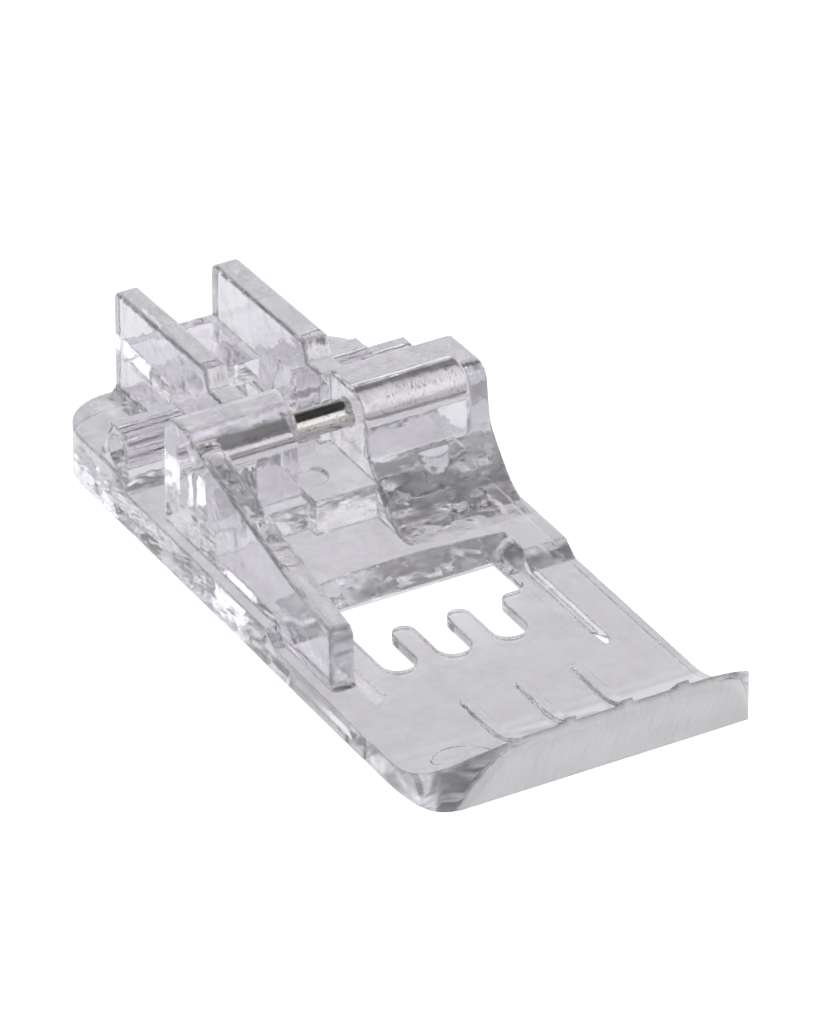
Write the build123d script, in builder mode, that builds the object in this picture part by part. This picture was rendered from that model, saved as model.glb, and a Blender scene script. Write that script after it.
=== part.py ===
"""Clear presser foot for a three-needle sewing machine: one injection moulding and one steel cross pin.

The foot stands on its sole. X runs across it, Y from the turned-up toe (minus) to the heel (plus)
and Z up. The origin is on the underside of the sole, half way along the foot and across it.
Lengths are in millimetres.
"""

import os
from math import cos, radians, sin

from build123d import *

# Sole plate, seen from above
FOOT_WIDTH = 16.4
CREST_Y = -20.1  # inner edge of the toe's crest
REAR_Y = 20.5
REAR_CORNER_R = 3.0
SOLE_THICK = 1.3

# Toe, seen from the side
CREST_Z = 5.8
LIP_THICK = 0.5
CREST_SLOPE = 47  # degrees, inner face at the crest
BEND_SLOPE = 28  # degrees, where the two arcs of the inner face meet
BEND_Y = -12.8  # the inner face starts to rise
BEND_R = 5.0
BELLY_Y = -12.6  # the underside starts to rise
CHIN_Y = -18.85
CHIN_Z = 1.82
CHIN_R = 0.7
TOE_CORNER_R = 3.7
CREST_CORNER_R = 4.0

# Three guide ribs up the inner face of the toe
RIB_X = (-2.7, 0.3, 3.3)
RIB_WIDTH = 0.55
RIB_HEIGHT = 0.2
RIB_ROOT = 0.2  # each rib reaches this far into the plate
RIB_HEAD_Y = -10.5

# Raised deck behind the sole plate
DECK_Z = 1.95
RAMP_Y = -2.1
RAMP_LENGTH = 1.0

# Needle window with its comb of three slots
NEEDLE_PITCH = 3.0
NEEDLE_MID_X = -0.65
SLOT_WIDTH = 1.8
SLOT_FRONT_Y = -6.6
FINGER_TIP_Y = -3.15
FINGER_TIP_FLAT = 0.04  # between the two rounds of a finger's tip
WINDOW_REAR_Y = 0.3
WINDOW_REAR_BOW = 0.05
WINDOW_RIGHT_SPARE = 0.45  # by which the comb's right margin is wider than a finger
DECK_EDGE_Y = 0.75
DECK_EDGE_BOW = 0.5
DECK_EDGE_RIGHT_GAP = 1.0
DECK_EDGE_LEFT_GAP = 1.25

# Recess under the comb
RECESS_DEPTH = 0.75
RECESS_FRONT_Y = -8.0
RECESS_MARGIN = 0.8
RECESS_CORNER_R = 0.8
RECESS_TAPER = 45  # degrees

# Groove beside the window
GROOVE_WIDTH = 0.85
GROOVE_DEPTH = 0.3
GROOVE_TIP_Y = -8.3
GROOVE_SHOULDER_Y = -7.1
GROOVE_REAR_Y = -1.4

# Cross pin
PIN_DIA = 1.45
PIN_FIT = 0.02  # the bore is this much larger, all round
PIN_CHAMFER = 0.1
PIN_Y = 7.85
PIN_Z = 6.33
PIN_LEFT_X = -6.9
PIN_RIGHT_X = 7.3

# Left pin ear
EAR_LEFT_X = -7.6
EAR_RIGHT_X = -2.05
EAR_TOP_Z = 8.0
EAR_FRONT_Y = 6.6
EAR_TOE_Y = 6.3  # foot of the front face, which leans
EAR_REAR_Y = 10.0
EAR_NOSE_R = 1.2
EAR_BACK_R = 1.4
EAR_LEDGE_Z = 3.4
EAR_LEDGE_Y = 5.6

# Right pin block
BLOCK_LEFT_X = 1.3
BLOCK_RIGHT_X = 8.1
BLOCK_TOP_Z = 7.85
BLOCK_DROP = 0.13  # the top falls this much to the rear
BLOCK_FRONT_Y = 6.22
BLOCK_REAR_Y = 9.9
BLOCK_NOSE_R = 1.0
BLOCK_BACK_R = 0.4
BLOCK_SLOPE = ((5.85, 5.3), (5.14, 4.03), (3.91, 2.75))  # hollow slope under the nose, from above
BLOCK_FOOT_Y = 1.6  # the slope runs out on the deck here
BLOCK_FOOT_RUN = (-1, -0.1)  # and in this direction

# Floor under the bare stretch of the pin
SADDLE_Z = 3.8
SADDLE_FRONT_Y = 4.95
SADDLE_REAR_Y = 9.9

# Round marks that the mould's ejectors leave
MARK_DIA = 1.7
MARK_DEPTH = 0.2
SADDLE_MARK = (-1.1, 7.15)
SLOPE_MARK = (4.6, 5.55)
SLOPE_MARK_Z = 4.5

# Side arm on the left
ARM_LEFT_X = -7.6
ARM_THICK = 1.3
ARM_FRONT_Y = -6.4
ARM_FRONT_Z = 4.3
ARM_MIDDLE_Y = 1.5
ARM_MIDDLE_Z = 6.15
ARM_REAR_Y = 6.85
ARM_REAR_Z = 7.7
ARM_FOOT_R = 0.45
ARM_NOSE_R = 0.7

# Two rear fins and the web between them
FIN_TOP_Z = 8.7
FIN_REAR_TOP_Z = 8.35
FIN_STEP_Y = 11.2
FIN_STEP_RUN = 0.4
FIN_REAR_R = 0.45
FIN_FOOT_R = 0.7
FIN_SINK = 0.5  # each fin starts this far inside the ear or the block
LEFT_FIN_X = (-4.65, -3.4)
RIGHT_FIN_X = (0.72, 2.15)
WEB_Z = 5.55
WEB_THICK = 1.2
WEB_FRONT_Y = 15.5

# Rear lugs outside the fins, with their cross bore
LUG_FRONT_Y = 12.7
LUG_CREST_Y = 14.4
LUG_REAR_Y = 15.6
LUG_TOP_Z = 5.12
LUG_SIDE_X = 8.1
INNER_LUG_X = 5.45
INNER_LUG_TOP_Z = 5.85
LUG_BORE_DIA = 1.6
LUG_BORE_Y = 13.8
LUG_BORE_Z = 3.75
HEEL_Z = 2.65

# Round on the outer edges of the uprights
EDGE_R = 0.2

half = FOOT_WIDTH / 2
ramp_top_y = RAMP_Y + RAMP_LENGTH
window_left_x = NEEDLE_MID_X - NEEDLE_PITCH - SLOT_WIDTH / 2
window_right_x = NEEDLE_MID_X + 2 * NEEDLE_PITCH - SLOT_WIDTH / 2 + WINDOW_RIGHT_SPARE
deck_edge_left_x = window_left_x - DECK_EDGE_LEFT_GAP
deck_edge_right_x = window_right_x + DECK_EDGE_RIGHT_GAP
slot_end_y = SLOT_FRONT_Y + SLOT_WIDTH / 2
finger_tip_r = (NEEDLE_PITCH - SLOT_WIDTH - FINGER_TIP_FLAT) / 2
lip_y = CREST_Y - LIP_THICK * sin(radians(CREST_SLOPE))
lip_z = CREST_Z - LIP_THICK * cos(radians(CREST_SLOPE))
window_mid_x = (window_left_x + window_right_x) / 2
crest_normal = (0, sin(radians(CREST_SLOPE)), cos(radians(CREST_SLOPE)))
crest_plane = Plane(origin=(0, CREST_Y, CREST_Z), x_dir=(1, 0, 0), z_dir=crest_normal)


def across(x):
    """Plane across the foot at x, with its own axes along Y and Z."""
    return Plane.YZ.offset(x)


def inner_face(lift):
    """Draws the toe's inner face from the sole to the crest, lifted off the plate by a given height."""
    low = BEND_R - lift
    bend = (BEND_Y - low * sin(radians(BEND_SLOPE)), SOLE_THICK + BEND_R - low * cos(radians(BEND_SLOPE)))
    crest = (CREST_Y + lift * sin(radians(CREST_SLOPE)), CREST_Z + lift * cos(radians(CREST_SLOPE)))
    foot_arc = TangentArc((BEND_Y, SOLE_THICK + lift), bend, tangent=(-1, 0))
    return TangentArc(bend, crest, tangent=foot_arc % 1)


def wall(x0, x1, y0, y1, z0, z1):
    """A plain block between two corners."""
    with Locations(((x0 + x1) / 2, (y0 + y1) / 2, (z0 + z1) / 2)):
        Box(x1 - x0, y1 - y0, z1 - z0)


def soft_slab(width, is_round=lambda middle: True):
    """Extrudes the sketch across the foot and rounds the outline edges on both its sides.

    The edges are the ones whose middle point is_round accepts.
    """
    slab = extrude(amount=width, mode=Mode.PRIVATE)
    outline = slab.edges().filter_by(Plane.YZ).filter_by(lambda edge: is_round(edge @ 0.5))
    add(slab.fillet(EDGE_R, outline))


with BuildPart() as clear_foot:
    # Sole plate and turned-up toe, in one side profile
    with BuildSketch(across(-half)) as side:
        with BuildLine():
            Line((REAR_Y, 0), (BELLY_Y, 0))
            belly = TangentArc((BELLY_Y, 0), (CHIN_Y, CHIN_Z), tangent=(-1, 0))
            Line(belly @ 1, (lip_y, lip_z))
            Line((lip_y, lip_z), (CREST_Y, CREST_Z))
            inner_face(0)
            Polyline(
                (BEND_Y, SOLE_THICK),
                (RAMP_Y, SOLE_THICK),
                (ramp_top_y, DECK_Z),
                (REAR_Y, DECK_Z),
                (REAR_Y, 0),
            )
        make_face()
        fillet(side.vertices().sort_by_distance((CHIN_Y, CHIN_Z))[0], CHIN_R)
    extrude(amount=FOOT_WIDTH)

    # Round corners of the toe: a close curve as seen from above, and a wide one square to the inner face
    for plane, radius in ((Plane((0, lip_y, 0)), TOE_CORNER_R), (crest_plane, CREST_CORNER_R)):
        with BuildSketch(plane):
            with BuildLine():
                RadiusArc((half, radius), (half - radius, 0), radius)
                Polyline(
                    (half - radius, 0),
                    (half - radius, -LIP_THICK),
                    (half, -LIP_THICK),
                    (half, radius),
                )
            make_face()
            mirror(about=Plane.YZ)
        extrude(amount=2 * CREST_Z, both=True, mode=Mode.SUBTRACT)

    # Low heel pads
    wall(-half, half, LUG_FRONT_Y, REAR_Y, SOLE_THICK, HEEL_Z)

    # Round corners of the heel
    heel_corners = clear_foot.edges().filter_by(Axis.Z).group_by(Axis.Y)[-1]
    fillet(heel_corners, REAR_CORNER_R)

    # Guide ribs with round heads
    for x in RIB_X:
        with BuildSketch(across(x - RIB_WIDTH / 2)):
            with BuildLine():
                top = inner_face(RIB_HEIGHT)
                root = inner_face(-RIB_ROOT)
                Line(top @ 1, root @ 1)
                Polyline(
                    (BEND_Y, SOLE_THICK + RIB_HEIGHT),
                    (RIB_HEAD_Y, SOLE_THICK + RIB_HEIGHT),
                    (RIB_HEAD_Y, SOLE_THICK - RIB_ROOT),
                    (BEND_Y, SOLE_THICK - RIB_ROOT),
                )
            make_face()
        extrude(amount=RIB_WIDTH)
        with Locations((x, RIB_HEAD_Y, SOLE_THICK)):
            Cylinder(RIB_WIDTH / 2, RIB_HEIGHT, align=(Align.CENTER, Align.CENTER, Align.MIN))

    # Needle window: the sole's opening below, a bowed deck edge above
    low_window = Plane.XY.offset(RECESS_DEPTH)
    with BuildSketch(low_window):
        with BuildLine():
            Polyline(
                (window_right_x, WINDOW_REAR_Y),
                (window_right_x, GROOVE_REAR_Y),
                (window_left_x, GROOVE_REAR_Y),
                (window_left_x, WINDOW_REAR_Y),
            )
            ThreePointArc(
                (window_left_x, WINDOW_REAR_Y),
                (0, WINDOW_REAR_Y + WINDOW_REAR_BOW),
                (window_right_x, WINDOW_REAR_Y),
            )
        make_face()
    with BuildSketch(Plane.XY.offset(DECK_Z)):
        with BuildLine():
            Polyline(
                (deck_edge_right_x, DECK_EDGE_Y),
                (deck_edge_right_x, GROOVE_REAR_Y),
                (deck_edge_left_x, GROOVE_REAR_Y),
                (deck_edge_left_x, DECK_EDGE_Y),
            )
            ThreePointArc(
                (deck_edge_left_x, DECK_EDGE_Y),
                (0, DECK_EDGE_Y + DECK_EDGE_BOW),
                (deck_edge_right_x, DECK_EDGE_Y),
            )
        make_face()
    loft(mode=Mode.SUBTRACT)

    # Comb: three slots that run forward from the window, with round finger tips between them
    with BuildSketch() as comb:
        with Locations((window_mid_x, (FINGER_TIP_Y + WINDOW_REAR_Y) / 2)):
            Rectangle(window_right_x - window_left_x, WINDOW_REAR_Y - FINGER_TIP_Y)
        for k in (-1, 0, 1):
            slot_x = NEEDLE_MID_X + k * NEEDLE_PITCH
            with Locations((slot_x, (slot_end_y + FINGER_TIP_Y) / 2)):
                Rectangle(SLOT_WIDTH, FINGER_TIP_Y - slot_end_y)
            with Locations((slot_x, slot_end_y)):
                Circle(SLOT_WIDTH / 2)
        tips = comb.vertices().group_by(Axis.Y)[-2].sort_by(Axis.X)
        fillet(tips, finger_tip_r)
    extrude(amount=DECK_Z, mode=Mode.SUBTRACT)

    # Recess under the comb and the window, with sloping sides
    recess_width = window_right_x - window_left_x + 2 * (RECESS_MARGIN + RECESS_DEPTH)
    recess_length = WINDOW_REAR_Y - RECESS_FRONT_Y + 2 * RECESS_DEPTH
    with BuildSketch():
        with Locations((window_mid_x, (RECESS_FRONT_Y + WINDOW_REAR_Y) / 2)):
            RectangleRounded(recess_width, recess_length, RECESS_CORNER_R)
    extrude(amount=RECESS_DEPTH, taper=RECESS_TAPER, mode=Mode.SUBTRACT)

    # Groove along the window's right side, with a pointed front end
    with BuildSketch(Plane.XY.offset(SOLE_THICK - GROOVE_DEPTH)):
        with BuildLine():
            Polyline(
                (window_right_x, GROOVE_REAR_Y),
                (window_right_x, GROOVE_SHOULDER_Y),
                (window_right_x + GROOVE_WIDTH, GROOVE_TIP_Y),
                (window_right_x + GROOVE_WIDTH, GROOVE_REAR_Y),
                (window_right_x, GROOVE_REAR_Y),
            )
        make_face()
    extrude(amount=DECK_Z, mode=Mode.SUBTRACT)

    # Right pin block, with a hollow slope down to the deck
    with BuildSketch(across(BLOCK_LEFT_X)) as block_side:
        with BuildLine():
            Polyline(
                (BLOCK_FOOT_Y, DECK_Z),
                (BLOCK_FOOT_Y, SOLE_THICK),
                (BLOCK_REAR_Y, SOLE_THICK),
                (BLOCK_REAR_Y, BLOCK_TOP_Z - BLOCK_DROP),
                (BLOCK_FRONT_Y, BLOCK_TOP_Z),
            )
            front = Line((BLOCK_FRONT_Y, BLOCK_TOP_Z), BLOCK_SLOPE[0])
            Spline(*BLOCK_SLOPE, (BLOCK_FOOT_Y, DECK_Z), tangents=(front % 1, BLOCK_FOOT_RUN))
        make_face()
        nose = block_side.vertices().sort_by_distance((BLOCK_FRONT_Y, BLOCK_TOP_Z))[0]
        fillet(nose, BLOCK_NOSE_R)
        back = block_side.vertices().sort_by_distance((BLOCK_REAR_Y, BLOCK_TOP_Z))[0]
        fillet(back, BLOCK_BACK_R)
    soft_slab(BLOCK_RIGHT_X - BLOCK_LEFT_X, lambda middle: middle.Z > DECK_Z)

    # Left pin ear, with a ledge in front of it
    with BuildSketch(across(EAR_LEFT_X)) as ear_side:
        with BuildLine():
            Polyline(
                (EAR_TOE_Y, SOLE_THICK),
                (EAR_REAR_Y, SOLE_THICK),
                (EAR_REAR_Y, EAR_TOP_Z),
                (EAR_FRONT_Y, EAR_TOP_Z),
                (EAR_FRONT_Y, PIN_Z),
                (EAR_TOE_Y, SOLE_THICK),
            )
        make_face()
        nose = ear_side.vertices().sort_by_distance((EAR_FRONT_Y, EAR_TOP_Z))[0]
        fillet(nose, EAR_NOSE_R)
        back = ear_side.vertices().sort_by_distance((EAR_REAR_Y, EAR_TOP_Z))[0]
        fillet(back, EAR_BACK_R)
    soft_slab(EAR_RIGHT_X - EAR_LEFT_X, lambda middle: middle.Z > DECK_Z)
    wall(ARM_LEFT_X + ARM_THICK, EAR_RIGHT_X, EAR_LEDGE_Y, EAR_FRONT_Y, SOLE_THICK, EAR_LEDGE_Z)

    # Floor between them, under the bare stretch of the pin
    wall(EAR_RIGHT_X, BLOCK_LEFT_X, SADDLE_FRONT_Y, SADDLE_REAR_Y, SOLE_THICK, SADDLE_Z)
    with Locations((*SADDLE_MARK, SADDLE_Z)):
        Cylinder(MARK_DIA / 2, 2 * MARK_DEPTH, mode=Mode.SUBTRACT)
    with Locations((*SLOPE_MARK, SOLE_THICK)):
        Cylinder(MARK_DIA / 2, SLOPE_MARK_Z - SOLE_THICK, align=(Align.CENTER, Align.CENTER, Align.MIN))

    # Side arm, from the left pin ear to its blunt front end, flared where it stands on the sole
    with BuildSketch(across(ARM_LEFT_X)) as arm_side:
        with BuildLine():
            ThreePointArc(
                (ARM_REAR_Y, ARM_REAR_Z),
                (ARM_MIDDLE_Y, ARM_MIDDLE_Z),
                (ARM_FRONT_Y, ARM_FRONT_Z),
            )
            Line((ARM_FRONT_Y, ARM_FRONT_Z), (ARM_FRONT_Y, SOLE_THICK + ARM_FOOT_R))
            RadiusArc(
                (ARM_FRONT_Y, SOLE_THICK + ARM_FOOT_R),
                (ARM_FRONT_Y - ARM_FOOT_R, SOLE_THICK),
                ARM_FOOT_R,
            )
            Polyline(
                (ARM_FRONT_Y - ARM_FOOT_R, SOLE_THICK),
                (ARM_FRONT_Y - ARM_FOOT_R, SOLE_THICK / 2),
                (ARM_REAR_Y, SOLE_THICK / 2),
                (ARM_REAR_Y, ARM_REAR_Z),
            )
        make_face()
        nose = arm_side.vertices().sort_by_distance((ARM_FRONT_Y, ARM_FRONT_Z))[0]
        fillet(nose, ARM_NOSE_R)
    soft_slab(ARM_THICK, lambda middle: middle.Z > DECK_Z and middle.Y < EAR_FRONT_Y)

    # Rear fins and the web between them
    for x0, x1 in (LEFT_FIN_X, RIGHT_FIN_X):
        with BuildSketch(across(x0)) as fin_side:
            with BuildLine():
                Polyline(
                    (EAR_REAR_Y - FIN_SINK, SOLE_THICK),
                    (REAR_Y, SOLE_THICK),
                    (REAR_Y, FIN_REAR_TOP_Z),
                    (FIN_STEP_Y, FIN_TOP_Z),
                    (FIN_STEP_Y - FIN_STEP_RUN, BLOCK_TOP_Z - BLOCK_DROP),
                    (EAR_REAR_Y - FIN_SINK, BLOCK_TOP_Z - BLOCK_DROP),
                    (EAR_REAR_Y - FIN_SINK, SOLE_THICK),
                )
            make_face()
            corner = fin_side.vertices().sort_by_distance((REAR_Y, FIN_REAR_TOP_Z))[0]
            fillet(corner, FIN_REAR_R)
        soft_slab(x1 - x0, lambda middle: middle.Z > HEEL_Z and middle.Y > EAR_REAR_Y)
    wall(LEFT_FIN_X[1], RIGHT_FIN_X[0], WEB_FRONT_Y, REAR_Y - EDGE_R, WEB_Z - WEB_THICK, WEB_Z)

    # Hollow fillets along the outer feet of the fins, over the heel pads
    for x, side_sign in ((LEFT_FIN_X[0], -1), (RIGHT_FIN_X[1], 1)):
        toe_x = x + side_sign * FIN_FOOT_R
        with BuildSketch(Plane.XZ.offset(EDGE_R - REAR_Y)):
            with BuildLine():
                RadiusArc((x, HEEL_Z + FIN_FOOT_R), (toe_x, HEEL_Z), -side_sign * FIN_FOOT_R)
                Polyline((toe_x, HEEL_Z), (x, HEEL_Z), (x, HEEL_Z + FIN_FOOT_R))
            make_face()
        extrude(amount=REAR_Y - EDGE_R - LUG_REAR_Y)

    # Rear lugs outside the fins, with sloping rear faces
    for x0, x1, top in (
        (-LUG_SIDE_X, LEFT_FIN_X[0], LUG_TOP_Z),
        (RIGHT_FIN_X[1], INNER_LUG_X, INNER_LUG_TOP_Z),
        (INNER_LUG_X, LUG_SIDE_X, LUG_TOP_Z),
    ):
        with BuildSketch(across(x0)):
            with BuildLine():
                Polyline(
                    (LUG_FRONT_Y, SOLE_THICK),
                    (LUG_REAR_Y, SOLE_THICK),
                    (LUG_REAR_Y, HEEL_Z),
                    (LUG_CREST_Y, top),
                    (LUG_FRONT_Y, top),
                    (LUG_FRONT_Y, SOLE_THICK),
                )
            make_face()
        extrude(amount=x1 - x0)
    with BuildSketch(Plane.YZ):
        with Locations((LUG_BORE_Y, LUG_BORE_Z)):
            Circle(LUG_BORE_DIA / 2)
    extrude(amount=FOOT_WIDTH, both=True, mode=Mode.SUBTRACT)

    # Bore for the cross pin, open on the left
    with BuildSketch(across(-half)):
        with Locations((PIN_Y, PIN_Z)):
            Circle(PIN_DIA / 2 + PIN_FIT)
    extrude(amount=PIN_RIGHT_X + half, mode=Mode.SUBTRACT)

clear_foot.part.label = "clear_foot"

with BuildPart() as cross_pin:
    with BuildSketch(across(PIN_LEFT_X)):
        with Locations((PIN_Y, PIN_Z)):
            Circle(PIN_DIA / 2)
    extrude(amount=PIN_RIGHT_X - PIN_LEFT_X)
    chamfer(cross_pin.edges().filter_by(GeomType.CIRCLE), PIN_CHAMFER)

cross_pin.part.label = "cross_pin"

os.makedirs("parts", exist_ok=True)
export_step(clear_foot.part, "parts/clear_foot.step")
export_step(cross_pin.part, "parts/cross_pin.step")
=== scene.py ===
"""Studio scene for a clear plastic presser foot with a steel cross pin.

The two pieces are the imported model's own solids. This file gives them their finishes and sets up the floor,
the lights and the camera. Lengths in the code are in metres unless a name says otherwise.
"""

from math import cos, radians, sin

import bpy
from bpy.props import FloatProperty, FloatVectorProperty, PointerProperty
from mathutils import Matrix, Vector


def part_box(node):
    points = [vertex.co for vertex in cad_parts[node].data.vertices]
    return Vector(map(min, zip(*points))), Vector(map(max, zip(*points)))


bl_info = {
    "name": "Clear Presser Foot",
    "version": (1, 0, 0),
    "blender": (4, 5, 0),
    "location": "View3D > Sidebar > Presser Foot",
    "description": "Dresses a clear presser foot and its steel pin, and lights them on a pale floor",
    "category": "Object",
}

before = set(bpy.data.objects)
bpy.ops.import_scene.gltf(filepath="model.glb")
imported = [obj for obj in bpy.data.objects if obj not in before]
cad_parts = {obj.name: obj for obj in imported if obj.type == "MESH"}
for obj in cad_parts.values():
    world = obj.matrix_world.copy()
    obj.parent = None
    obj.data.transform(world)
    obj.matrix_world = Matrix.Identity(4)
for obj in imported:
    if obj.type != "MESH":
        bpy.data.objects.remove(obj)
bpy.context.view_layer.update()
MM = 0.001
SENSOR_MM = 36
PICTURE_HEIGHT_PX = 1024

# The blunt front of the toe: its lip, and how far its plane leans from upright
FRONT_LIP_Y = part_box("clear_foot")[0][1]
FRONT_LIP_Z = 5.459 * MM
FRONT_LEAN = 24  # degrees
FRONT_FADE = 0.45 * MM

# The crest above it, which is rubbed less; the pin and its block stand higher, and are far behind
CREST_Z = 5.65 * MM
CREST_FADE = 0.35 * MM
CREST_SHARE = 0.85
CREST_REAR_Y = -17 * MM

# The toe's edges are fully round in front of this place
ROUND_TOE_Y = -18.7 * MM

# In front of this place the moulding is flat and calm
CALM_Y = -3 * MM
CALM_SHARE = 0.5

# Behind this place the mould was polished unevenly
WAVE_FRONT_Y = 1.5 * MM
WAVE_FADE = 1 * MM

# Round mark on the toe's inner face
RING_X = -5.4 * MM
RING_Y = -14.75 * MM
RING_RADIUS = 1.37 * MM
RING_EDGE = 0.09 * MM
RING_FLOOR_Z = 1 * MM

# Noises of the plastic and the steel, in waves per metre. Three numbers stretch a noise along the axes.
RIPPLE_SCALE = 520
WAVE_SCALE = 900
PEBBLE_SCALE = 2600
CLOUD_SCALE = 650
SMEAR_SCALE = 260
SCRATCH_SCALE = (3000, 300, 300)
STREAK_SCALE = (900, 120, 120)
PIN_LINE_SCALE = (9000, 500, 500)
SPECK_SCALE = 11000

# Values of a noise between which its effect runs from low to high
CLOUD_RANGE = (0.35, 0.65)
SMEAR_RANGE = (0.3, 0.7)
PIN_LINE_RANGE = (0.25, 0.75)
ROOM_RANGE = (0.42, 0.58)
SPECK_FADE = 0.06

# Shares of a roughness that its noise runs between
SMEAR_SPREAD = (1, 4)
FROST_SPREAD = (0.7, 1.2)
PIN_LINE_SPREAD = (0.7, 1.5)
BEVEL_SAMPLES = 4

# The camera looks at a point on the sole, moved to the side and up in the picture
AIM = Vector((0, -10.5 * MM, 0))
AIM_RIGHT = -4.9779 * MM
AIM_UP = 9.3156 * MM
CLIP_START = 0.01

# The floor lies this much under the sole; the lights' places and their widths and heights
FLOOR_GAP = 0.03 * MM
KEY_PLACE = (0.32, -0.56, 0.375)
KEY_SIZE = (1.4, 0.5)
SIDE_PLACE = (-0.65, -0.05, 0.30)
SIDE_SIZE = (0.6, 0.30)

# Light goes through many walls before it leaves the moulding
LIGHT_PATHS = {
    "max_bounces": 26,
    "transmission_bounces": 22,
    "transparent_max_bounces": 16,
    "glossy_bounces": 12,
    "caustics_reflective": False,
    "caustics_refractive": False,
}


class PlasticSettings(bpy.types.PropertyGroup):
    """Finish of the clear moulding."""

    tint: FloatVectorProperty(
        name="Tint",
        description="Colour that each pass through a surface keeps",
        subtype="COLOR",
        size=3,
        min=0,
        max=1,
        default=(0.957, 0.938, 0.985),
    )
    frost_tint: FloatVectorProperty(
        name="Frost Tint",
        description="Colour of the rubbed front of the toe",
        subtype="COLOR",
        size=3,
        min=0,
        max=1,
        default=(1.0, 0.985, 1.0),
    )
    frost_clarity: FloatProperty(
        name="Frost Clarity",
        description="Share of the light that passes the rubbed front of the toe",
        subtype="FACTOR",
        default=0.2,
        min=0,
        max=1,
    )
    ior: FloatProperty(
        name="Index", description="Refractive index of the plastic", default=1.58, min=1, max=2
    )
    clarity: FloatProperty(
        name="Clarity",
        description="Share of the light that passes; the rest scatters as haze",
        subtype="FACTOR",
        default=0.96,
        min=0,
        max=1,
    )
    cloud: FloatProperty(
        name="Cloud",
        description="Difference in clarity between the moulding's clear and cloudy patches",
        subtype="FACTOR",
        default=0.12,
        min=0,
        max=1,
    )
    gloss_roughness: FloatProperty(
        name="Gloss Roughness",
        description="Roughness of the polished walls",
        subtype="FACTOR",
        default=0.015,
        min=0,
        max=1,
    )
    frost_roughness: FloatProperty(
        name="Frost Roughness",
        description="Roughness of the rubbed front of the toe",
        subtype="FACTOR",
        default=0.42,
        min=0,
        max=1,
    )
    ripple_depth: FloatProperty(
        name="Ripple Depth",
        description="Height of the faint ripple that the mould leaves",
        subtype="DISTANCE",
        unit="LENGTH",
        default=0.00002,
        min=0,
    )
    wave_depth: FloatProperty(
        name="Wave Depth",
        description="Height of the uneven surface between and behind the uprights",
        subtype="DISTANCE",
        unit="LENGTH",
        default=0.000045,
        min=0,
    )
    pebble_depth: FloatProperty(
        name="Pebble Depth",
        description="Height of the fine grain on the moulding",
        subtype="DISTANCE",
        unit="LENGTH",
        default=0.000004,
        min=0,
    )
    ring_depth: FloatProperty(
        name="Ring Depth",
        description="Height of the round ejector mark on the toe",
        subtype="DISTANCE",
        unit="LENGTH",
        default=0.00007,
        min=0,
    )
    scratch_depth: FloatProperty(
        name="Scratch Depth",
        description="Depth of the scratches up the front of the toe",
        subtype="DISTANCE",
        unit="LENGTH",
        default=0.00015,
        min=0,
    )
    edge_radius: FloatProperty(
        name="Edge Radius",
        description="Round that the light sees on the sharp edges",
        subtype="DISTANCE",
        unit="LENGTH",
        default=0.00018,
        min=0,
    )
    toe_edge_radius: FloatProperty(
        name="Toe Edge Radius",
        description="The same on the toe, whose edges are rounder",
        subtype="DISTANCE",
        unit="LENGTH",
        default=0.0005,
        min=0,
    )
    shadow_tint: FloatVectorProperty(
        name="Shadow Tint",
        description="Share of the lamps' light that each wall lets through to the floor",
        subtype="COLOR",
        size=3,
        min=0,
        max=1,
        default=(0.93, 0.93, 0.94),
    )


class PinSettings(bpy.types.PropertyGroup):
    """Finish of the steel pin."""

    colour: FloatVectorProperty(
        name="Colour",
        description="Colour of the bare steel",
        subtype="COLOR",
        size=3,
        min=0,
        max=1,
        default=(0.58, 0.57, 0.555),
    )
    roughness: FloatProperty(
        name="Roughness",
        description="Roughness of the drawn steel",
        subtype="FACTOR",
        default=0.16,
        min=0,
        max=1,
    )
    speck_colour: FloatVectorProperty(
        name="Speck Colour",
        description="Colour of the small dark specks on the pin",
        subtype="COLOR",
        size=3,
        min=0,
        max=1,
        default=(0.22, 0.21, 0.205),
    )
    speck_share: FloatProperty(
        name="Speck Share", description="Higher values give more specks", default=0.4, min=0, max=1
    )
    line_depth: FloatProperty(
        name="Line Depth",
        description="Depth of the fine lines round the pin",
        subtype="DISTANCE",
        unit="LENGTH",
        default=0.0000006,
        min=0,
    )


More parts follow.
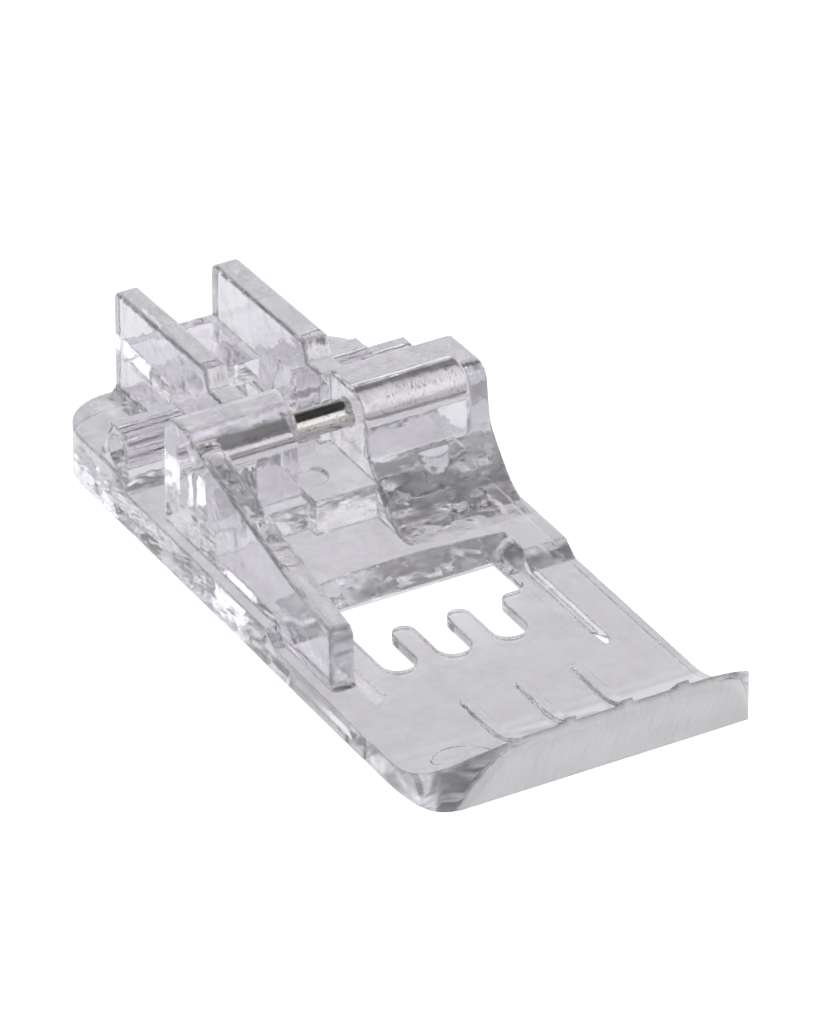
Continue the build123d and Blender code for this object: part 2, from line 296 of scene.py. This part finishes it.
class StageSettings(bpy.types.PropertyGroup):
    """Floor, lights and camera."""

    floor_colour: FloatVectorProperty(
        name="Floor Colour",
        description="Colour of the pale floor",
        subtype="COLOR",
        size=3,
        min=0,
        max=1,
        default=(0.80, 0.79, 0.82),
    )
    floor_size: FloatProperty(
        name="Floor Size",
        description="Side of the square floor",
        subtype="DISTANCE",
        unit="LENGTH",
        default=3.0,
    )
    floor_seen: FloatProperty(
        name="Floor Seen",
        description="White that the floor shows in the steel and through the plastic",
        default=0.55,
        min=0,
    )
    world_level: FloatProperty(
        name="Horizon Level", description="Strength of the horizon", default=0.75, min=0
    )
    room_scale: FloatProperty(
        name="Room Scale", description="Fineness of the room's light and dark parts", default=3.5, min=0
    )
    room_low: FloatProperty(
        name="Room Low", description="Share of the light in the room's dark parts", default=0.5, min=0
    )
    room_high: FloatProperty(
        name="Room High", description="Share of the light in the room's bright parts", default=1.5, min=0
    )
    ceiling_level: FloatProperty(
        name="Ceiling Level", description="Strength of the dark ceiling", default=0.09, min=0
    )
    ceiling_seen: FloatProperty(
        name="Ceiling Seen",
        description="Least strength that the room has through the plastic",
        default=0.18,
        min=0,
    )
    horizon_top: FloatProperty(
        name="Horizon Top",
        description="The bright horizon begins to fade at this height",
        subtype="ANGLE",
        unit="ROTATION",
        default=radians(22),
    )
    ceiling_edge: FloatProperty(
        name="Ceiling Edge",
        description="The ceiling is dark above this height",
        subtype="ANGLE",
        unit="ROTATION",
        default=radians(42),
    )
    key_watts: FloatProperty(
        name="Key Light", description="Power of the big soft light in watts", default=2.5, min=0
    )
    side_watts: FloatProperty(
        name="Side Light", description="Power of the soft light on the left in watts", default=0.55, min=0
    )
    lens_px: FloatProperty(
        name="Lens", description="Focal length in pixels of the reference picture", default=9000, min=1
    )
    camera_turn: FloatProperty(
        name="Camera Turn",
        description="Turn of the camera about the vertical, from straight in front of the toe",
        subtype="ANGLE",
        unit="ROTATION",
        default=radians(-29.66),
    )
    camera_rise: FloatProperty(
        name="Camera Rise",
        description="Angle of the camera above the floor",
        subtype="ANGLE",
        unit="ROTATION",
        default=radians(31.85),
    )
    camera_distance: FloatProperty(
        name="Camera Distance",
        description="Distance from the aim point",
        subtype="DISTANCE",
        unit="LENGTH",
        default=0.42066,
    )


def new_material(name):
    """A node material with only its output, and the pieces needed to build on it."""
    material = bpy.data.materials.new(name)
    material.use_nodes = True
    nodes = material.node_tree.nodes
    nodes.clear()
    output = nodes.new("ShaderNodeOutputMaterial")
    return material, nodes, material.node_tree.links, output


def dress(node_name, material):
    """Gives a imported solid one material."""
    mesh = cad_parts[node_name].data
    mesh.materials.clear()
    mesh.materials.append(material)


def math_node(nodes, links, operation, *values):
    """A Math node with its inputs linked or set, and its result."""
    node = nodes.new("ShaderNodeMath")
    node.operation = operation
    for socket, value in zip(node.inputs, values):
        if isinstance(value, bpy.types.NodeSocket):
            links.new(value, socket)
        else:
            socket.default_value = value
    return node.outputs["Value"]


def ramp(nodes, links, value, start, end, low=0, high=1):
    """A smooth step from low at start to high at end."""
    node = nodes.new("ShaderNodeMapRange")
    node.interpolation_type = "SMOOTHSTEP"
    links.new(value, node.inputs["Value"])
    for name, number in (("From Min", start), ("From Max", end), ("To Min", low), ("To Max", high)):
        node.inputs[name].default_value = number
    return node.outputs["Result"]


def scaled_noise(nodes, links, place, scale, detail=2):
    """Noise with one scale, or with three numbers for the three axes."""
    stretch = nodes.new("ShaderNodeMapping")
    stretch.inputs["Scale"].default_value = scale if isinstance(scale, tuple) else (scale,) * 3
    links.new(place, stretch.inputs["Vector"])
    noise = nodes.new("ShaderNodeTexNoise")
    noise.inputs["Scale"].default_value = 1
    noise.inputs["Detail"].default_value = detail
    links.new(stretch.outputs["Vector"], noise.inputs["Vector"])
    return noise.outputs["Fac"]


def bumped(nodes, links, height, distance, normal=None):
    """A Bump node over another one's normal, and its result."""
    bump = nodes.new("ShaderNodeBump")
    bump.inputs["Distance"].default_value = distance
    links.new(height, bump.inputs["Height"])
    if normal:
        links.new(normal, bump.inputs["Normal"])
    return bump.outputs["Normal"]


def two_tones(nodes, links, shader, first, second, share):
    """Base colour of a shader that goes from one colour to another."""
    tone = nodes.new("ShaderNodeMix")
    tone.data_type = "RGBA"
    tone.inputs["A"].default_value = (*first, 1)
    tone.inputs["B"].default_value = (*second, 1)
    links.new(share, tone.inputs["Factor"])
    links.new(tone.outputs["Result"], shader.inputs["Base Color"])


def toe_front(nodes, links, axes):
    """Mask that is 1 on the blunt front of the toe, which lies in one plane."""
    slope = radians(FRONT_LEAN)
    along_y = math_node(nodes, links, "MULTIPLY", axes["Y"], -cos(slope))
    along_z = math_node(nodes, links, "MULTIPLY", axes["Z"], -sin(slope))
    reach = math_node(nodes, links, "ADD", along_y, along_z)
    lip = -FRONT_LIP_Y * cos(slope) - FRONT_LIP_Z * sin(slope)
    front = ramp(nodes, links, reach, lip - FRONT_FADE, lip - FRONT_FADE / 4)
    crest = ramp(nodes, links, axes["Z"], CREST_Z - CREST_FADE, CREST_Z, 0, CREST_SHARE)
    toe_only = ramp(nodes, links, axes["Y"], CREST_REAR_Y, CREST_REAR_Y - CREST_FADE)
    crest = math_node(nodes, links, "MULTIPLY", crest, toe_only)
    return math_node(nodes, links, "MAXIMUM", front, crest)


def ring_mark(nodes, links, axes):
    """Height of the round mark that an ejector left on the toe's inner face."""
    squares = []
    for axis, centre in (("X", RING_X), ("Y", RING_Y)):
        offset = math_node(nodes, links, "SUBTRACT", axes[axis], centre)
        squares.append(math_node(nodes, links, "MULTIPLY", offset, offset))
    radius = math_node(nodes, links, "SQRT", math_node(nodes, links, "ADD", *squares))
    off_ring = math_node(nodes, links, "SUBTRACT", radius, RING_RADIUS)
    off_ring = math_node(nodes, links, "ABSOLUTE", off_ring)
    ring = ramp(nodes, links, off_ring, 0, RING_EDGE, 1, 0)
    upper = ramp(nodes, links, axes["Z"], RING_FLOOR_Z, RING_FLOOR_Z + RING_EDGE)
    return math_node(nodes, links, "MULTIPLY", ring, upper)


def plastic_surface(nodes, links, place, axes, front, settings):
    """Normal of the plastic: soft edges, an uneven surface, the ejector's ring and the toe's scratches."""
    edges = nodes.new("ShaderNodeBevel")
    edges.samples = BEVEL_SAMPLES
    toe = ramp(nodes, links, axes["Y"], CREST_REAR_Y, ROUND_TOE_Y)
    soft = ramp(nodes, links, toe, 0, 1, settings.edge_radius, settings.toe_edge_radius)
    links.new(soft, edges.inputs["Radius"])

    ripple = scaled_noise(nodes, links, place, RIPPLE_SCALE, 3)
    calm = ramp(nodes, links, axes["Y"], CALM_Y, 0, CALM_SHARE, 1)
    ripple = math_node(nodes, links, "MULTIPLY", ripple, calm)
    normal = bumped(nodes, links, ripple, settings.ripple_depth, edges.outputs["Normal"])

    waves = scaled_noise(nodes, links, place, WAVE_SCALE, 1)
    uneven = ramp(nodes, links, axes["Y"], WAVE_FRONT_Y, WAVE_FRONT_Y + WAVE_FADE)
    waves = math_node(nodes, links, "MULTIPLY", waves, uneven)
    normal = bumped(nodes, links, waves, settings.wave_depth, normal)

    pebble = scaled_noise(nodes, links, place, PEBBLE_SCALE, 3)
    normal = bumped(nodes, links, pebble, settings.pebble_depth, normal)
    normal = bumped(nodes, links, ring_mark(nodes, links, axes), settings.ring_depth, normal)

    scratches = scaled_noise(nodes, links, place, SCRATCH_SCALE, 4)
    scratches = math_node(nodes, links, "MULTIPLY", scratches, front)
    return bumped(nodes, links, scratches, settings.scratch_depth, normal)


def clear_plastic(settings):
    """Clear moulded plastic with faint ripples, a trace of haze and a rubbed, frosted toe."""
    material, nodes, links, output = new_material("clear_plastic")
    shader = nodes.new("ShaderNodeBsdfPrincipled")
    shader.inputs["IOR"].default_value = settings.ior

    place = nodes.new("ShaderNodeTexCoord").outputs["Object"]
    split = nodes.new("ShaderNodeSeparateXYZ")
    links.new(place, split.inputs["Vector"])
    axes = split.outputs
    front = toe_front(nodes, links, axes)

    # The rubbed toe is paler and cloudier than the rest
    two_tones(nodes, links, shader, settings.tint, settings.frost_tint, front)
    clouds = scaled_noise(nodes, links, place, CLOUD_SCALE, 6)
    clouds = ramp(nodes, links, clouds, *CLOUD_RANGE, -settings.cloud / 2, settings.cloud / 2)
    clarity = ramp(nodes, links, front, 0, 1, settings.clarity, settings.frost_clarity)
    clarity = math_node(nodes, links, "ADD", clarity, clouds)
    links.new(clarity, shader.inputs["Transmission Weight"])

    normal = plastic_surface(nodes, links, place, axes, front, settings)
    links.new(normal, shader.inputs["Normal"])

    # Gloss: smears on the polished walls, and the frosted toe
    smears = scaled_noise(nodes, links, place, SMEAR_SCALE)
    polished = [settings.gloss_roughness * part for part in SMEAR_SPREAD]
    gloss = ramp(nodes, links, smears, *SMEAR_RANGE, *polished)
    streaks = scaled_noise(nodes, links, place, STREAK_SCALE, 3)
    frosted = [settings.frost_roughness * part for part in FROST_SPREAD]
    frost = ramp(nodes, links, streaks, *SMEAR_RANGE, *frosted)
    frost = math_node(nodes, links, "MULTIPLY", frost, front)
    links.new(math_node(nodes, links, "ADD", gloss, frost), shader.inputs["Roughness"])

    # Light from the lamps passes straight through, so that the floor under the foot stays lit
    lights_path = nodes.new("ShaderNodeLightPath")
    see_through = nodes.new("ShaderNodeBsdfTransparent")
    see_through.inputs["Color"].default_value = (*settings.shadow_tint, 1)
    mix = nodes.new("ShaderNodeMixShader")
    links.new(lights_path.outputs["Is Shadow Ray"], mix.inputs["Fac"])
    links.new(shader.outputs["BSDF"], mix.inputs[1])
    links.new(see_through.outputs["BSDF"], mix.inputs[2])
    links.new(mix.outputs["Shader"], output.inputs["Surface"])
    return material


def pin_steel(settings):
    """Drawn steel with fine lines round the pin and small dark specks."""
    material, nodes, links, output = new_material("pin_steel")
    shader = nodes.new("ShaderNodeBsdfPrincipled")
    shader.inputs["Metallic"].default_value = 1
    place = nodes.new("ShaderNodeTexCoord").outputs["Object"]

    lines = scaled_noise(nodes, links, place, PIN_LINE_SCALE, 4)
    drawn = [settings.roughness * part for part in PIN_LINE_SPREAD]
    links.new(ramp(nodes, links, lines, *PIN_LINE_RANGE, *drawn), shader.inputs["Roughness"])
    links.new(bumped(nodes, links, lines, settings.line_depth), shader.inputs["Normal"])

    specks = scaled_noise(nodes, links, place, SPECK_SCALE, 2)
    specks = ramp(nodes, links, specks, settings.speck_share, settings.speck_share - SPECK_FADE)
    two_tones(nodes, links, shader, settings.colour, settings.speck_colour, specks)
    links.new(shader.outputs["BSDF"], output.inputs["Surface"])
    return material


def camera_axes(turn, rise):
    """Right, up and backward directions of a camera that is turned and then raised above the floor."""
    right = Vector((cos(turn), sin(turn), 0))
    back = Vector((sin(turn) * cos(rise), -cos(turn) * cos(rise), sin(rise)))
    return right, back.cross(right), back


def add_camera(stage):
    """Puts the camera where the reference picture was taken from."""
    right, up, back = camera_axes(stage.camera_turn, stage.camera_rise)
    aim = AIM + right * AIM_RIGHT + up * AIM_UP
    data = bpy.data.cameras.new("camera")
    data.sensor_width = SENSOR_MM
    data.lens = stage.lens_px / PICTURE_HEIGHT_PX * SENSOR_MM
    data.clip_start = CLIP_START
    camera = bpy.data.objects.new("camera", data)
    bpy.context.scene.collection.objects.link(camera)
    turn = Matrix((right, up, back)).transposed().to_4x4()
    camera.matrix_world = Matrix.Translation(aim + back * stage.camera_distance) @ turn
    bpy.context.scene.camera = camera


def add_floor(settings):
    """A square floor just under the sole."""
    mesh = bpy.data.meshes.new("floor")
    reach = settings.floor_size / 2
    corners = [(-reach, -reach, 0), (reach, -reach, 0), (reach, reach, 0), (-reach, reach, 0)]
    mesh.from_pydata(corners, [], [(0, 1, 2, 3)])
    mesh.materials.append(floor_material(settings))
    floor = bpy.data.objects.new("floor", mesh)
    bpy.context.scene.collection.objects.link(floor)
    floor.location.z = -FLOOR_GAP
    return floor


def add_soft_light(name, centre, size, watts):
    """A rectangular soft light aimed at the foot."""
    data = bpy.data.lights.new(name, "AREA")
    data.shape = "RECTANGLE"
    data.size, data.size_y = size
    data.energy = watts
    light = bpy.data.objects.new(name, data)
    bpy.context.scene.collection.objects.link(light)
    light.location = centre
    light.rotation_euler = (-Vector(centre)).to_track_quat("-Z", "Y").to_euler()
    return light


def seen_white(nodes, links, share):
    """Strength of 1 for the camera's rays, and a share of it for glossy and transmission rays."""
    path = nodes.new("ShaderNodeLightPath").outputs
    either = math_node(nodes, links, "MAXIMUM", path["Is Glossy Ray"], path["Is Transmission Ray"])
    weaker = math_node(nodes, links, "MULTIPLY", either, share)
    return math_node(nodes, links, "MAXIMUM", path["Is Camera Ray"], weaker)


def floor_material(settings):
    """Pale floor, white to the camera and greyer through the plastic, that keeps the foot's shadow."""
    material, nodes, links, output = new_material("pale_floor")
    paper = nodes.new("ShaderNodeBsdfDiffuse")
    paper.inputs["Color"].default_value = (*settings.floor_colour, 1)
    lift = nodes.new("ShaderNodeEmission")
    lift.inputs["Color"].default_value = (1, 1, 1, 1)
    add = nodes.new("ShaderNodeAddShader")
    links.new(seen_white(nodes, links, settings.floor_seen), lift.inputs["Strength"])
    links.new(paper.outputs["BSDF"], add.inputs[0])
    links.new(lift.outputs["Emission"], add.inputs[1])
    links.new(add.outputs["Shader"], output.inputs["Surface"])
    return material


def studio_world(settings):
    """A bright horizon under a dark ceiling, and white behind everything that the camera sees."""
    world = bpy.data.worlds.new("studio")
    world.use_nodes = True
    nodes, links = world.node_tree.nodes, world.node_tree.links
    split = nodes.new("ShaderNodeSeparateXYZ")
    direction = nodes.new("ShaderNodeTexCoord").outputs["Generated"]
    links.new(direction, split.inputs["Vector"])
    edges = sin(settings.horizon_top), sin(settings.ceiling_edge)
    levels = settings.world_level, settings.ceiling_level
    level = ramp(nodes, links, split.outputs["Z"], *edges, *levels)
    room = scaled_noise(nodes, links, direction, settings.room_scale, 1)
    room = ramp(nodes, links, room, *ROOM_RANGE, settings.room_low, settings.room_high)
    level = math_node(nodes, links, "MULTIPLY", level, room)

    # The room isn't quite dark through the plastic, and it is white to the camera
    path = nodes.new("ShaderNodeLightPath").outputs
    through = math_node(nodes, links, "MULTIPLY", path["Is Transmission Ray"], settings.ceiling_seen)
    level = math_node(nodes, links, "MAXIMUM", level, through)
    level = math_node(nodes, links, "MAXIMUM", level, path["Is Camera Ray"])
    background = nodes["Background"]
    links.new(level, background.inputs["Strength"])
    background.inputs["Color"].default_value = (1, 1, 1, 1)
    return world


class DressFoot(bpy.types.Operator):
    """Give the clear moulding its finish"""

    bl_idname = "presser_foot.dress_foot"
    bl_label = "Clear Foot"

    def execute(self, context):
        dress("clear_foot", clear_plastic(context.scene.foot_plastic))
        return {"FINISHED"}


class DressPin(bpy.types.Operator):
    """Give the steel cross pin its finish"""

    bl_idname = "presser_foot.dress_pin"
    bl_label = "Cross Pin"

    def execute(self, context):
        dress("cross_pin", pin_steel(context.scene.foot_pin))
        return {"FINISHED"}


class SetStage(bpy.types.Operator):
    """Set up the floor, the lights and the camera"""

    bl_idname = "presser_foot.set_stage"
    bl_label = "Stage"

    def execute(self, context):
        scene = context.scene
        stage = scene.foot_stage
        scene.view_settings.view_transform = "Standard"
        for name, value in LIGHT_PATHS.items():
            setattr(scene.cycles, name, value)
        add_camera(stage)
        add_floor(stage)
        add_soft_light("key_light", KEY_PLACE, KEY_SIZE, stage.key_watts)
        add_soft_light("side_light", SIDE_PLACE, SIDE_SIZE, stage.side_watts)
        scene.world = studio_world(stage)
        return {"FINISHED"}


class FootPanel(bpy.types.Panel):
    """Lists the foot's pieces and its stage"""

    bl_idname = "VIEW3D_PT_presser_foot"
    bl_label = "Presser Foot"
    bl_space_type = "VIEW_3D"
    bl_region_type = "UI"
    bl_category = "Presser Foot"

    def draw(self, context):
        for operator, settings in (
            (DressFoot, context.scene.foot_plastic),
            (DressPin, context.scene.foot_pin),
            (SetStage, context.scene.foot_stage),
        ):
            box = self.layout.box()
            box.operator(operator.bl_idname)
            for name in settings.__annotations__:
                box.prop(settings, name)


CLASSES = (PlasticSettings, PinSettings, StageSettings, DressFoot, DressPin, SetStage, FootPanel)


def register():
    for cls in CLASSES:
        bpy.utils.register_class(cls)
    bpy.types.Scene.foot_plastic = PointerProperty(type=PlasticSettings)
    bpy.types.Scene.foot_pin = PointerProperty(type=PinSettings)
    bpy.types.Scene.foot_stage = PointerProperty(type=StageSettings)


def unregister():
    del bpy.types.Scene.foot_stage
    del bpy.types.Scene.foot_pin
    del bpy.types.Scene.foot_plastic
    for cls in reversed(CLASSES):
        bpy.utils.unregister_class(cls)


def main():
    register()
    bpy.ops.presser_foot.set_stage()
    bpy.ops.presser_foot.dress_foot()
    bpy.ops.presser_foot.dress_pin()


if __name__ == "__main__":
    main()
